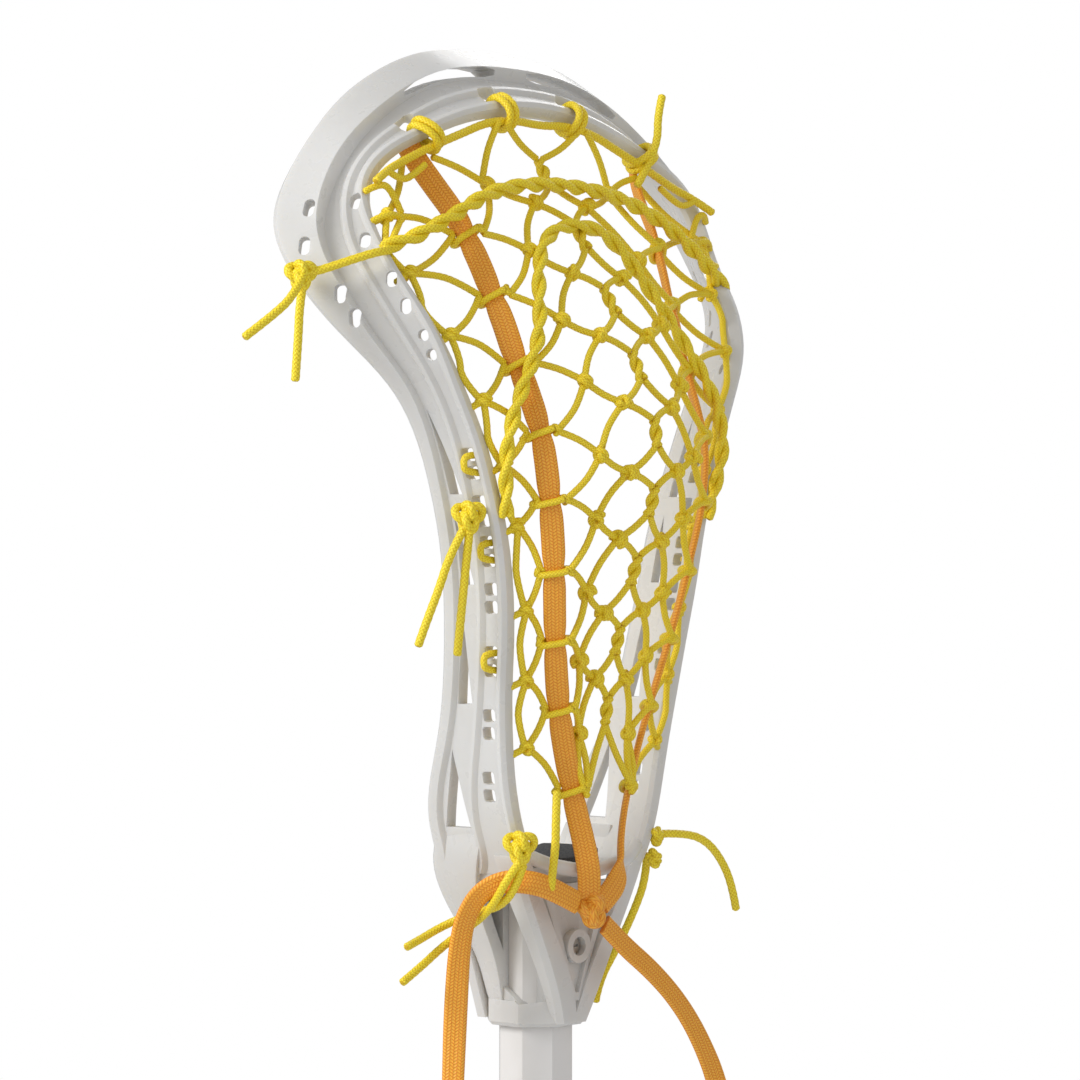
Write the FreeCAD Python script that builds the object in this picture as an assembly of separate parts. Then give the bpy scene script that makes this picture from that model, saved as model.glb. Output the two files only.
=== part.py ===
"""A strung women's lacrosse stick: moulded head, octagonal shaft, laced pocket and butt cap.

Millimetres. +Z runs up the stick from the middle of the butt, +Y is the side the ball is caught on,
and the pocket hangs towards -Y. Heights inside the head are measured from its lower rim.
"""
import FreeCAD, Part
import math
import os

Vector = FreeCAD.Vector

# Driving dimensions
SHAFT_FLATS = 22.2        # seven-eighths inch women's shaft, across flats
SHAFT_WALL = 1.5
SHAFT_TOP = 42.0          # how far the shaft reaches into the head
HEAD_Z = 745.0            # height of the head's lower rim above the butt
SOCKET_PLAY = 0.15        # gap on each side between shaft and socket
SOCKET_WALL = 2.4
COLLAR_STEP = 1.1
SOCKET_TOP = 46.0
THROAT_FLOOR = 3.5        # thickness of the floor that closes the socket
WALL = 6.0                # thickness of the side walls
SLOT_INSET = 8.0          # radial distance from the scoop's rim to its long slots
GROOVE = 1.6              # depth of the groove between rim and string rail
CHANNEL = 1.3             # depth of the channel that the string holes open into
EDGE = 1.2                # chamfer on the outer corners
SCOOP_CENTRE = 225.0      # height of the point that the scoop is swung about
CORD = 2.6                # braided nylon cord
TWISTED = 4.6             # two cords twisted together
RUNNER_WIDTH = 7.0
RUNNER_THICK = 2.0
STRAP_SECTIONS = 40
NET_THICK = 1.2
SCREW_HEIGHT = 24.7
BACK_PLATE = -18.2        # outer face of the throat's back plate

# Side walls by height: half width and depth of the front rim, then of the back edge, then the
# height of the rim's lip and how far its corner stands proud of the line from rim to back edge
WALL_STATIONS = [
    (48.0, 30.5, 15.5, 28.5, -19.5, 4.5, 0.0),
    (62.0, 35.0, 13.0, 33.5, -21.5, 4.5, 0.0),
    (75.0, 38.0, 10.3, 37.0, -21.5, 4.5, 0.0),
    (90.0, 41.0, 4.0, 39.5, -22.5, 4.5, 0.0),
    (105.0, 43.5, -0.5, 41.5, -24.3, 4.5, 0.0),
    (120.0, 45.5, -3.0, 43.0, -26.5, 4.5, 0.0),
    (135.0, 48.0, -5.0, 45.2, -28.2, 4.5, 0.0),
    (150.0, 51.0, -6.0, 48.0, -28.8, 4.5, 0.0),
    (165.0, 56.0, -7.0, 52.2, -28.8, 4.5, 0.0),
    (180.0, 62.5, -7.5, 57.8, -28.6, 5.0, 0.2),
    (195.0, 72.0, -5.8, 65.0, -27.6, 6.5, 0.6),
    (210.0, 86.5, -0.5, 71.5, -25.5, 9.0, 1.4),
    (225.0, 96.5, 7.0, 76.5, -18.0, 12.0, 2.4),
]
# Scoop by angle above the horizontal: the same six sizes, with radii in place of half widths
SCOOP_STATIONS = [
    (10.0, 98.8, 16.5, 79.5, -9.0, 13.5, 3.2),
    (20.0, 94.5, 20.5, 83.3, -3.0, 14.0, 3.2),
    (30.0, 90.0, 22.0, 79.5, -2.0, 14.0, 3.0),
    (42.0, 87.0, 21.5, 70.8, -2.0, 13.5, 2.8),
    (54.0, 84.0, 21.0, 65.2, -2.0, 13.0, 2.6),
    (66.0, 81.2, 21.0, 61.7, -2.0, 13.0, 2.4),
    (78.0, 78.6, 21.5, 59.8, -2.0, 13.0, 2.4),
    (90.0, 77.3, 22.0, 59.2, -2.0, 13.0, 2.4),
]
# Runners by height: half spacing and depth
RUNNER_PATH = [
    (266.0, 51.0, 4.5),
    (256.0, 48.0, -2.2),
    (247.0, 45.5, -8.8),
    (234.0, 43.0, -15.4),
    (224.0, 41.5, -19.3),
    (214.5, 40.5, -23.7),
    (205.0, 39.5, -26.8),
    (195.0, 38.5, -31.2),
    (185.0, 38.0, -35.2),
    (176.0, 37.5, -37.5),
    (161.0, 35.5, -38.0),
    (143.0, 31.5, -36.0),
    (125.0, 28.0, -33.0),
    (106.0, 23.3, -29.5),
    (88.0, 17.8, -27.2),
    (70.0, 12.0, -26.6),
    (51.0, 7.5, -26.4),
]
# How far the net between the runners hangs behind them, by height
NET_SAG = [(70.0, 0.3), (110.0, 1.0), (127.0, 2.5), (147.0, 6.0), (167.0, 11.0), (190.0, 14.0),
           (210.0, 13.0), (225.0, 10.0), (240.0, 8.0), (256.0, 6.0)]
STRING_HOLES = [75.0, 94.0, 113.0, 132.0, 146.0, 158.0, 172.0]
# Windows of the side walls: height of the point, height of the wide end
TRUSS_WINDOWS = [(86.0, 62.0), (128.0, 100.0), (157.0, 136.0), (188.0, 163.0)]
EDGE_HOLES_LOW = [203.8, 209.5, 218.0, 226.0]     # heights on the wall
EDGE_HOLES_HIGH = [9.0, 17.0]                     # angles round the scoop
LIP_OVALS = [(214.5, 8.6), (221.5, 10.0)]         # height on the wall, distance from the rim
LIP_OVALS_HIGH = [(6.5, 10.5), (13.7, 10.5)]      # angle round the scoop, distance from the rim
SCOOP_HOLES = [43.0, 74.0]


def at(x, y, height):
    """A point of the head, given its height above the head's lower rim."""
    return Vector(x, y, HEAD_Z + height)


def mirrored(shape):
    return shape.mirror(Vector(0, 0, 0), Vector(1, 0, 0))


def save(name, shape):
    if shape.ShapeType == "Compound" and len(shape.Solids) == 1:
        shape = shape.Solids[0]
    print(name, shape.ShapeType, "solids", len(shape.Solids), "valid", shape.isValid(),
          "volume", round(shape.Volume))
    shape.exportStep("parts/%s.step" % name)


def between(table, key):
    """Linear interpolation down a table whose first column rises or falls."""
    rows = sorted(table)
    key = min(max(key, rows[0][0]), rows[-1][0])
    for low, high in zip(rows, rows[1:]):
        if key <= high[0]:
            part = (key - low[0]) / (high[0] - low[0])
            return [a + (b - a) * part for a, b in zip(low[1:], high[1:])]
    return list(rows[-1][1:])


class Station:
    """One cross-section of the head: a line from the front rim to the back or inner edge."""

    def __init__(self, centre_height, angle, sizes):
        front_out, front_depth, back_out, back_depth, self.lip, self.proud = sizes
        self.centre_height = centre_height
        self.swing = math.radians(angle)
        self.front = (front_out, front_depth)
        run = (back_out - front_out, back_depth - front_depth)
        self.length = math.hypot(*run)
        self.middle = self.lip + 0.45 * (self.length - self.lip)
        self.along = (run[0] / self.length, run[1] / self.length)
        self.outward = (-self.along[1], self.along[0])

    def flat(self, s, q):
        """Distance out and depth of a point s from the front rim and q off the outer line."""
        return (self.front[0] + self.along[0] * s + self.outward[0] * q,
                self.front[1] + self.along[1] * s + self.outward[1] * q)

    def point(self, s, q):
        out, depth = self.flat(s, q)
        return at(out * math.cos(self.swing), depth,
                  self.centre_height + out * math.sin(self.swing))

    def direction(self, pair):
        return Vector(pair[0] * math.cos(self.swing), pair[1], pair[0] * math.sin(self.swing))

    def profile(self):
        size = self.length
        lip, proud, middle = self.lip, self.proud, self.middle
        inside = -WALL
        return [(EDGE, 0.25 * proud), (lip, proud), (lip + EDGE + 0.2 * proud, -GROOVE),
                (middle - EDGE, -GROOVE), (middle, 0), (middle + EDGE, 0),
                (middle + 2.6, -CHANNEL), (size - 3.6, -CHANNEL), (size - 2.4, 0),
                (size - EDGE, 0), (size, -EDGE), (size, inside + EDGE), (size - EDGE, inside),
                (middle, inside + 1.0), (EDGE + 1.0, inside + 0.5 * proud),
                (0, inside + EDGE + 0.4 * proud), (0, -EDGE)]

    def wire(self):
        points = [self.point(s, q) for s, q in self.profile()]
        return Part.makePolygon(points + [points[0]])


def wall_station(height):
    return Station(height, 0, between(WALL_STATIONS, height))


def scoop_station(angle):
    return Station(SCOOP_CENTRE, angle, between(SCOOP_STATIONS, angle))


def mirrored_wire(wire):
    points = [Vector(-v.X, v.Y, v.Z) for v in wire.OrderedVertexes]
    return Part.makePolygon(points + [points[0]])


def frame_loop():
    """Both side walls and the scoop as one loft from throat to throat."""
    right = [wall_station(row[0]).wire() for row in WALL_STATIONS]
    right += [scoop_station(row[0]).wire() for row in SCOOP_STATIONS]
    left = [mirrored_wire(wire) for wire in reversed(right[:-1])]
    return Part.makeLoft(right + left, True, False)


def box_tool(centre, outward, along, width, height, depth, corner=1.0):
    """A rounded hole's box: width runs along 'along', depth along 'outward'."""
    across = outward.cross(along).normalize()
    box = Part.makeBox(depth, width, height, Vector(-depth / 2, -width / 2, -height / 2))
    box = box.makeFillet(corner, [e for e in box.Edges if abs(e.tangentAt(0).x) > 0.9])
    turn = FreeCAD.Rotation(outward, along, across, "XYZ")
    box.Placement = FreeCAD.Placement(centre, turn)
    return box


def string_holes():
    """Pairs of slots through the channel of each side wall, in line with the string rail."""
    tools = []
    for height in STRING_HOLES:
        for offset in (-2.7, 2.7):
            spot = wall_station(height + offset)
            channel = (spot.middle + 2.6 + spot.length - 3.6) / 2
            tools.append(box_tool(spot.point(channel, -WALL / 2), spot.direction(spot.outward),
                                  spot.direction(spot.along), 4.6, 3.9, 3 * WALL))
    return tools


def wing_holes():
    """Small lacing holes along the inner edge of the wings, and ovals through the lip."""
    tools = []
    spots = [wall_station(height) for height in EDGE_HOLES_LOW]
    spots += [scoop_station(angle) for angle in EDGE_HOLES_HIGH]
    for index, spot in enumerate(spots):
        length = 3.4 if index < 2 else 4.8
        tools.append(box_tool(spot.point(spot.length - 4.4, -WALL / 2),
                              spot.direction(spot.outward), spot.direction(spot.along),
                              3.4, length, 3 * WALL, 1.6))
    ovals = [(wall_station(height), inset) for height, inset in LIP_OVALS]
    ovals += [(scoop_station(angle), inset) for angle, inset in LIP_OVALS_HIGH]
    for spot, inset in ovals:
        tools.append(box_tool(spot.point(inset, 0), spot.direction(spot.outward),
                              spot.direction(spot.along), 3.4, 5.6, 4 * WALL, 1.6))
    return tools


def truss_windows():
    """Slender triangles through each wall, between front rim and string rail."""
    tools = []
    for top, bottom in TRUSS_WINDOWS:
        corners = []
        for height, share in ((top, 0.0), (bottom, 0.0), (bottom, 1.0)):
            spot = wall_station(height)
            near = spot.lip + EDGE + 0.6
            far = spot.middle - EDGE - 0.6
            depth = spot.flat(near + (far - near) * share, 0)[1]
            corners.append(at(15, depth, height))
        face = Part.Face(Part.makePolygon(corners + [corners[0]]))
        tools.append(face.extrude(Vector(95, 0, 0)))
    return tools


def scoop_slots():
    """The long slot each side of the scoop's middle, and two string openings below it."""
    start, stop, steps = 51.0, 84.0, 8
    upper, lower = [], []
    for step in range(steps + 1):
        angle = start + (stop - start) * step / steps
        radius = scoop_station(angle).front[0] - SLOT_INSET
        end = min(step, steps - step)
        half = 1.6 if end > 0 else 0.8
        for row, offset in ((upper, half), (lower, -half)):
            reach = radius + offset
            row.append(at(reach * math.cos(math.radians(angle)), -12,
                          SCOOP_CENTRE + reach * math.sin(math.radians(angle))))
    face = Part.Face(Part.makePolygon(upper + lower[::-1] + [upper[0]]))
    tools = [face.extrude(Vector(0, 50, 0))]
    for angle in SCOOP_HOLES:
        spot = scoop_station(angle)
        centre = spot.point(spot.length - 6.4, -WALL / 2)
        tools.append(box_tool(centre, spot.direction(spot.outward),
                              spot.direction(spot.along), 5.6, 7.5, 4 * WALL))
    return tools


def octagon(flats, height):
    radius = flats / 2 / math.cos(math.pi / 8)
    points = []
    for side in range(8):
        turn = math.pi / 8 + side * math.pi / 4
        points.append(at(radius * math.cos(turn), radius * math.sin(turn), height))
    return Part.makePolygon(points + [points[0]])


def prism(flats, low, high):
    return Part.Face(octagon(flats, low)).extrude(Vector(0, 0, high - low))


def cheek():
    """The socket's side: the front rim running down into the collar."""
    rows = [(7.6, 14.3, 7.6, 1.0), (13.0, 15.4, 8.8, 1.0), (21.0, 17.7, 10.1, 1.0),
            (30.0, 22.0, 12.6, 1.0), (38.0, 26.2, 14.6, 0.0), (48.0, 30.5, 15.4, -3.0),
            (60.0, 32.2, 11.6, -7.0)]
    wires = []
    for height, out, front, back in rows:
        inner = max(out - 5.0, 10.5)
        corners = [(out - 1.2, front), (out, front - 1.5), (out, back), (inner, back),
                   (inner, front)]
        points = [at(x, y, height) for x, y in corners]
        wires.append(Part.makePolygon(points + [points[0]]))
    return Part.makeLoft(wires, True, False)


def strut():
    """The string rail carried down from the wall to the back of the collar."""
    rows = [(1.0, 6.5, -0.8, -16.4, -12.6), (14.0, 12.0, 3.5, -18.2, -13.0),
            (30.0, 20.0, 12.0, -19.0, -12.5), (44.0, 27.0, 20.0, -19.6, -11.5),
            (54.0, 30.6, 24.8, -20.2, -10.5)]
    wires = []
    for height, outer, inner, back, front in rows:
        points = [at(outer - 1.5, back, height), at(outer, back + 1.8, height),
                  at(outer, front, height), at(inner, front, height), at(inner, back, height)]
        wires.append(Part.makePolygon(points + [points[0]]))
    return Part.makeLoft(wires, True, False)


def back_plate():
    """The V-shaped plate between the struts, with its ridge and screw boss."""
    def wedge(back, front, low, high, share):
        half_low, half_high = 1.5 * share, 24.0 * share
        points = [at(-half_low, back, low), at(half_low, back, low),
                  at(half_high, back, high), at(-half_high, back, high)]
        return Part.Face(Part.makePolygon(points + [points[0]])).extrude(
            Vector(0, front - back, 0))
    plate = wedge(BACK_PLATE + 2.0, -12.4, 4.0, 44.0, 1.0)
    ridge = wedge(BACK_PLATE + 0.9, -14.0, 8.0, 41.0, 0.62)
    hollow = wedge(BACK_PLATE - 3.0, BACK_PLATE + 2.6, 10.5, 42.0, 0.5)
    boss = Part.makeCylinder(5.2, 4.6, at(0, BACK_PLATE, SCREW_HEIGHT), Vector(0, 1, 0))
    return plate.fuse(ridge).cut(hollow).fuse(boss)


def tube_wire(points, report=None):
    """Straight runs joined by tangent arcs, each as large as its two runs allow."""
    edges = []
    start = points[0]
    radii = []
    for before, corner, after in zip(points, points[1:], points[2:]):
        a = corner - before
        b = after - corner
        turn = a.getAngle(b)
        trim = 0.45 * min(a.Length, b.Length)
        radii.append(trim / math.tan(turn / 2))
        first = corner - a * (trim / a.Length)
        last = corner + b * (trim / b.Length)
        bisector = (last - corner).normalize() + (first - corner).normalize()
        bisector.normalize()
        reach = math.hypot(trim, radii[-1]) - radii[-1]
        edges.append(Part.LineSegment(start, first).toShape())
        edges.append(Part.Arc(first, corner + bisector * reach, last).toShape())
        start = last
    edges.append(Part.LineSegment(start, points[-1]).toShape())
    if report:
        print("  cord %s: length %.0f, radii %s" % (
            report, Part.Wire(edges).Length, " ".join("%.0f" % r for r in radii)))
    return Part.Wire(edges)


def tube(points, diameter, report=None):
    path = tube_wire(points, report)
    heading = (points[1] - points[0]).normalize()
    ring = Part.Wire(Part.makeCircle(diameter / 2, points[0], heading))
    return path.makePipeShell([ring], True, True)


def strap(points, start_facing, end_facing, report):
    """A flat woven strap: sections along a smooth path, the broad face turning as it goes."""
    path = tube_wire(points, report)
    spots = path.discretize(STRAP_SECTIONS)
    wires = []
    for index, spot in enumerate(spots):
        share = index / (STRAP_SECTIONS - 1)
        ahead = spots[min(index + 1, STRAP_SECTIONS - 1)] - spots[max(index - 1, 0)]
        facing = start_facing * (1 - share) + end_facing * share
        side = ahead.cross(facing).normalize() * (RUNNER_WIDTH / 2)
        normal = side.cross(ahead).normalize() * (RUNNER_THICK / 2)
        corners = [spot + side * i + normal * j for i, j in ((1, 1), (-1, 1), (-1, -1), (1, -1))]
        wires.append(Part.makePolygon(corners + [corners[0]]))
    return Part.makeLoft(wires, True, True)


def throat_bar():
    points = [at(-29, -17.5, 56), at(-19, -22.0, 51), at(0, -23.5, 47.5), at(19, -22.0, 51),
              at(29, -17.5, 56)]
    return tube(points, 4.4)


def head():
    body = frame_loop()
    for piece in (cheek(), strut()):
        body = body.fuse(piece).fuse(mirrored(piece))
    flats = SHAFT_FLATS + 2 * SOCKET_PLAY
    collar = prism(flats + 2 * (SOCKET_WALL + COLLAR_STEP), 1.2, 8.0)
    rim = Part.makeLoft([octagon(flats + 2 * SOCKET_WALL, 0.0),
                         octagon(flats + 2 * (SOCKET_WALL + COLLAR_STEP), 1.2)], True, True)
    sleeve = prism(flats + 2 * SOCKET_WALL, 1.0, SOCKET_TOP + THROAT_FLOOR)
    socket = sleeve.fuse(collar).fuse(rim)
    window = [at(0, 1.0, 12.0), at(0, 1.0, SOCKET_TOP - 3), at(0, -22.0, SOCKET_TOP - 3),
              at(0, -12.0, 8.0), at(0, -6.0, 7.0)]
    face = Part.Face(Part.makePolygon(window + [window[0]]))
    opening = face.extrude(Vector(40, 0, 0))
    inner_x = SHAFT_FLATS / 2 - 3.0
    opening.translate(Vector(inner_x, 0, 0))
    socket = socket.cut(opening).cut(mirrored(opening))
    floor_points = [at(-29, 14, 46), at(29, 14, 46), at(27, -15, 46), at(-27, -15, 46)]
    floor = Part.Face(Part.makePolygon(floor_points + [floor_points[0]])).extrude(
        Vector(0, 0, THROAT_FLOOR))
    front_points = [at(-14, 11.5, 2), at(14, 11.5, 2), at(26, 14.5, 47), at(-26, 14.5, 47)]
    front = Part.Face(Part.makePolygon(front_points + [front_points[0]])).extrude(
        Vector(0, -3.2, 0))
    for piece in (socket, floor, front, back_plate(), throat_bar()):
        body = body.fuse(piece)
    body = body.cut(prism(flats, -5.0, SOCKET_TOP))
    hole = Part.makeCylinder(2.9, 12.0, at(0, BACK_PLATE - 2, SCREW_HEIGHT), Vector(0, 1, 0))
    tools = string_holes() + wing_holes() + truss_windows() + scoop_slots()
    for tool in tools:
        body = body.cut(tool).cut(mirrored(tool))
    return body.cut(hole)


def shaft():
    base = 4.0
    bottom = base - HEAD_Z
    outer = prism(SHAFT_FLATS, bottom, SHAFT_TOP)
    inner = prism(SHAFT_FLATS - 2 * SHAFT_WALL, bottom - 1, SHAFT_TOP + 1)
    pilot = Part.makeCylinder(1.4, 6.0, at(0, -SHAFT_FLATS / 2 - 2, SCREW_HEIGHT), Vector(0, 1, 0))
    return outer.cut(inner).cut(pilot)


def end_cap():
    """Rubber cap: a cup over the butt, rounded at the bottom."""
    flats = SHAFT_FLATS + 0.1
    outer = Part.makeCylinder(15.0, 34.0, Vector(0, 0, 0), Vector(0, 0, 1))
    outer = outer.makeFillet(3.5, [outer.Edges[2]])
    outer = outer.makeChamfer(1.0, [max(outer.Edges, key=lambda e: e.CenterOfMass.z)])
    return outer.cut(prism(flats, 4.0 - HEAD_Z, 40.0 - HEAD_Z))


def head_screw():
    """Pan-head screw through the boss into the shaft wall."""
    head_disc = Part.makeCylinder(2.6, 1.8, at(0, BACK_PLATE + 2.2, SCREW_HEIGHT), Vector(0, 1, 0))
    shank = Part.makeCylinder(1.35, 10.0, at(0, BACK_PLATE + 3.0, SCREW_HEIGHT), Vector(0, 1, 0))
    slot = Part.makeBox(3.6, 0.8, 0.8, at(-1.8, BACK_PLATE + 2.2, SCREW_HEIGHT - 0.4))
    return head_disc.fuse(shank).cut(slot)


def ball_stop():
    """Foam pad across the throat floor, its upper face hollowed for the ball."""
    base = SOCKET_TOP + THROAT_FLOOR
    pad = Part.makeBox(32, 24, 4.8, at(-16, -13.0, base + 0.05))
    ball = Part.makeCylinder(32.0, 60.0, at(0, -30, base + 34.5), Vector(0, 1, 0))
    return pad.cut(ball)


def runner(side):
    """One flat runner from the scoop to the throat bar."""
    wires = []
    for height, half, depth in RUNNER_PATH:
        x = side * half
        points = [at(x + i * RUNNER_WIDTH / 2, depth + j * RUNNER_THICK / 2, height)
                  for i, j in ((1, 1), (-1, 1), (-1, -1), (1, -1))]
        wires.append(Part.makePolygon(points + [points[0]]))
    return Part.makeLoft(wires, True, True)


def sheet(rows):
    """A thin panel lofted through rows of points; each row is [(x, y, height), ...]."""
    wires = []
    for row in rows:
        back = [at(x, y, height) for x, y, height in row]
        front = [at(x, y + NET_THICK, height) for x, y, height in reversed(row)]
        wires.append(Part.makePolygon(back + front + [back[0]]))
    return Part.makeLoft(wires, True, True)


def crosslace():
    """The net between the runners, sagging a little further back than they do."""
    rows = []
    for height, half, depth in RUNNER_PATH[1:-1]:
        edge = half - RUNNER_WIDTH / 2 - 0.4
        sag = between(NET_SAG, height)[0]
        rows.append([(edge * t, depth - sag * (1 - t * t) - NET_THICK / 2, height)
                     for t in (-1, -0.6, -0.2, 0.2, 0.6, 1)])
    return sheet(rows)


def wall_net(side):
    """The lacing between one runner and its side wall."""
    rows = []
    for height, half, depth in RUNNER_PATH[3:-2]:
        spot = wall_station(height)
        edge_out, edge_depth = spot.flat(spot.length - 1.0, -WALL - 0.4)
        near = half + RUNNER_WIDTH / 2 + 0.4
        middle = (near + edge_out) / 2
        rows.append([(side * near, depth - NET_THICK / 2, height),
                     (side * middle, (depth + edge_depth) / 2 - 1.0, height),
                     (side * edge_out, edge_depth, height)])
    if side < 0:
        rows = [row[::-1] for row in rows]
    return sheet(rows)


def knot(x, y, height, radius, flatten=1.0):
    ball = Part.makeSphere(radius)
    if flatten != 1.0:
        stretch = FreeCAD.Matrix()
        stretch.scale(1.0, 1.0, flatten)
        ball = ball.transformGeometry(stretch)
    ball.translate(at(x, y, height))
    return ball


TOP_STRING = [(-76.0, -4.0, 250.0), (-62.0, -4.0, 261.0), (-47.0, -4.0, 268.5),
              (-18.0, -4.0, 279.5), (18.0, -4.0, 279.5), (47.0, -4.0, 268.5), (62.0, -4.0, 261.0),
              (76.0, -4.0, 250.0)]
UPPER_SHOOTER = [(-76.0, -14.0, 231.0), (-59.0, -14.0, 241.5), (-37.0, -11.0, 253.5),
                 (-7.0, -9.0, 258.5), (21.5, -9.0, 257.0), (40.0, -10.0, 253.0),
                 (54.0, -12.5, 243.0), (65.0, -14.0, 235.5), (75.0, -14.5, 231.0)]
LOWER_SHOOTER = [(-49.0, -33.0, 158.0), (-46.5, -35.5, 179.0), (-39.0, -34.0, 197.0),
                 (-31.5, -27.0, 215.5), (-24.0, -22.0, 231.5), (-8.5, -18.0, 242.0),
                 (11.5, -17.0, 245.0), (24.0, -19.0, 239.0), (34.5, -22.0, 228.0),
                 (43.0, -27.0, 212.0), (47.0, -31.5, 198.0), (52.0, -33.0, 184.0)]

# Free cords: name, route in the head's own heights
FREE_CORDS = [
    ("shooter_tail_outer", [(-101.5, -1.5, 228.0), (-108.0, -3.5, 220.5), (-115.5, -3.0, 214.5),
                            (-124.5, 0.5, 207.5)]),
    ("shooter_tail_inner", [(-101.5, -1.0, 227.0), (-103.5, -1.0, 218.0), (-103.0, 0.0, 208.5),
                            (-103.8, 0.5, 195.5)]),
    ("middle_tail_long", [(-55.5, -22.0, 153.5), (-60.0, -20.0, 145.0), (-63.0, -18.5, 135.0),
                          (-67.5, -17.5, 125.0), (-70.5, -17.0, 118.0)]),
    ("middle_tail_short", [(-54.5, -23.0, 153.0), (-55.0, -22.0, 143.0), (-56.0, -21.5, 132.0),
                           (-56.5, -20.5, 121.0), (-57.0, -20.2, 115.0)]),
    ("throat_tail_long", [(-35.0, -26.5, 54.5), (-37.5, -22.5, 48.0), (-36.0, -16.5, 41.0),
                          (-33.0, -8.5, 35.5), (-33.5, -0.5, 30.5), (-38.5, 4.0, 25.5),
                          (-46.5, 4.5, 20.5), (-56.5, 3.0, 16.5)]),
    ("throat_tail_short", [(-34.0, -26.0, 52.5), (-34.5, -23.0, 44.5), (-33.0, -15.5, 39.0),
                           (-31.5, -7.0, 37.0), (-32.5, 1.0, 34.5), (-37.5, 5.5, 31.5),
                           (-45.5, 6.0, 28.5), (-54.0, 3.5, 27.0)]),
    ("top_tail", [(44.0, -3.5, 261.5), (48.0, -5.0, 268.5), (51.0, -6.5, 277.0),
                  (52.0, -5.5, 284.5), (55.5, -4.5, 291.5)]),
    ("right_arc_tail", [(35.0, -21.5, 57.5), (43.0, -25.0, 57.5), (51.0, -27.0, 54.5),
                        (57.5, -28.0, 47.5), (61.5, -28.5, 39.5), (64.0, -28.0, 32.0)]),
    ("right_long_tail", [(31.5, -18.5, 51.5), (33.5, -16.5, 43.5), (30.5, -14.0, 33.0),
                         (24.5, -12.5, 22.5), (17.8, -10.5, 12.0), (15.8, -10.8, 5.5)]),
    ("centre_tail", [(-22.5, -29.0, 74.0), (-23.5, -29.5, 66.0), (-22.5, -28.5, 57.5),
                     (-23.3, -28.0, 50.0), (-23.0, -27.0, 43.5)]),
]
LEFT_END = [(-13.5, -29.5, 39.5), (-20.5, -28.5, 43.0), (-27.5, -25.0, 46.3),
            (-33.5, -18.5, 47.0), (-37.0, -11.0, 43.5), (-38.5, -6.0, 35.5), (-38.8, -4.0, 25.5),
            (-38.6, -2.8, 14.0), (-38.6, -2.0, 2.0), (-38.8, -1.6, -10.0), (-39.2, -1.4, -22.0),
            (-39.3, -1.6, -34.0)]
RIGHT_END = [(-3.5, -31.5, 32.5), (4.3, -32.5, 25.5), (14.5, -34.0, 18.0), (23.9, -35.0, 9.8),
             (31.4, -36.0, 1.0), (37.8, -36.5, -8.5), (43.0, -37.0, -18.5), (46.6, -37.3, -29.0)]


def route(rows):
    return [at(*row) for row in rows]


def main():
    os.makedirs("parts", exist_ok=True)
    save("head", head())
    save("shaft", shaft())
    save("end_cap", end_cap())
    save("head_screw", head_screw())
    save("ball_stop_pad", ball_stop())
    save("left_runner", runner(-1))
    save("right_runner", runner(1))
    save("crosslace", crosslace())
    save("left_wall_lacing", wall_net(-1))
    save("right_wall_lacing", wall_net(1))
    save("top_string", tube(route(TOP_STRING), CORD))
    save("upper_shooting_string", tube(route(UPPER_SHOOTER), TWISTED))
    save("lower_shooting_string", tube(route(LOWER_SHOOTER), TWISTED))
    save("shooter_knot", knot(-102.0, 0.0, 226.6, 4.8))
    save("middle_knot", knot(-54.6, -22.6, 156.3, 4.8, 1.25))
    save("throat_knot", knot(-34.5, -25.0, 57.5, 4.6, 1.3))
    save("right_knots", Part.makeCompound([knot(33.0, -21.0, 57.0, 4.0),
                                           knot(31.5, -21.5, 50.0, 4.0)]))
    save("runner_knot", knot(-8.0, -30.5, 37.0, 6.0))
    for name, rows in FREE_CORDS:
        save(name, tube(route(rows), CORD, name))
    save("left_runner_end", strap(route(LEFT_END), Vector(0, -1, 0), Vector(-0.94, -0.34, 0),
                                  "left_runner_end"))
    save("right_runner_end", strap(route(RIGHT_END), Vector(0, -1, 0.2),
                                   Vector(-0.45, -0.85, 0.27), "right_runner_end"))


main()
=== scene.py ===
"""Looks of a strung women's lacrosse stick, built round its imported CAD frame.

The script works in metres. Places inside the head are given in millimetres, as (x, y, height above
the head's lower rim), and at() turns them into the frame's own metres.
"""
import bpy
import math
import numpy as np
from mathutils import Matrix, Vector


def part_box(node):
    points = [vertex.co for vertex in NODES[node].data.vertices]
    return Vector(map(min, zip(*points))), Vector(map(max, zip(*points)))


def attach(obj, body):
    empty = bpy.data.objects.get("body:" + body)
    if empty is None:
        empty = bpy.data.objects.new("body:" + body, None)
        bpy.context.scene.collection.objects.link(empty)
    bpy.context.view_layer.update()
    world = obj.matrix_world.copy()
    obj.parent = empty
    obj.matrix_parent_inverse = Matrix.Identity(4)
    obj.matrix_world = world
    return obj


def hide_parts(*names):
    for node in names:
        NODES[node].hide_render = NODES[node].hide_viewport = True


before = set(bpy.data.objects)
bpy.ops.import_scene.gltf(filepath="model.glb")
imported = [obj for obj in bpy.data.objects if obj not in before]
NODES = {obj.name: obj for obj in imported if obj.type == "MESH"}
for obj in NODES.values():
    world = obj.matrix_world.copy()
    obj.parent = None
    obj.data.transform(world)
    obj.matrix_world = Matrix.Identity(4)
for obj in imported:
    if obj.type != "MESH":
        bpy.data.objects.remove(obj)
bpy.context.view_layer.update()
MM = 0.001
HEAD_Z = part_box("head")[0].z

# Sizes in millimetres
LACE = 2.15               # the net's cord
CORD = 2.6                # the shooting strings' and tails' cord
STRAP_WIDTH = 7.0
STRAP_THICK = 2.0


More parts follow.
